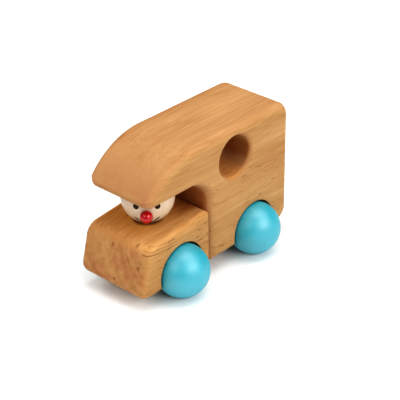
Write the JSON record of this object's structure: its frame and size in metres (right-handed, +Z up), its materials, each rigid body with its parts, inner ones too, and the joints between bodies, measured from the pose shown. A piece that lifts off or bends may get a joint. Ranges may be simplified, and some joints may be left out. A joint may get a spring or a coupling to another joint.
{
  "type": "wooden toy camper van",
  "caption": "Soft-edged wooden toy camper van with a roof that curves down over the cab, a round through window, ball wheels on turning axles and a ball-headed driver that swivels.",
  "frame": {"origin": "on the ground under the middle of the van's overall box", "axes": "+X forward, +Y to the van's left, +Z up"},
  "size_m": [0.1224, 0.0796, 0.0852],
  "materials": {
    "body_wood": "oiled, fine straight grain along the van's length",
    "hood_wood": "oiled, curved grain at the front corner and darker end grain on the front",
    "dowel_wood": "plain turned dowel",
    "wheel_paint": "satin turquoise paint",
    "head_wood": "pale matt wood with painted eyes and smile",
    "nose_paint": "gloss red paint"
  },
  "bodies": {
    "van": {"camper_body": "body_wood", "hood_block": "hood_wood", "hood_dowel_left": "dowel_wood", "hood_dowel_right": "dowel_wood"},
    "front_wheelset": {"front_axle": "dowel_wood", "front_left_wheel": "wheel_paint", "front_right_wheel": "wheel_paint"},
    "rear_wheelset": {"rear_axle": "dowel_wood", "rear_left_wheel": "wheel_paint", "rear_right_wheel": "wheel_paint"},
    "driver": {"driver_head": "head_wood", "driver_nose": "nose_paint"}
  },
  "joints": [
    {"name": "front_axle_roll", "type": "hinge", "parent": "van", "child": "front_wheelset", "pos_m": [0.0298, 0, 0.0155], "axis": [0, 1, 0], "continuous": true},
    {"name": "rear_axle_roll", "type": "hinge", "parent": "van", "child": "rear_wheelset", "pos_m": [-0.0304, 0, 0.0155], "axis": [0, 1, 0], "continuous": true},
    {"name": "head_turn", "type": "hinge", "parent": "van", "child": "driver", "pos_m": [0.0305, 0, 0.05393], "axis": [0, 0, 1], "continuous": true}
  ]
}
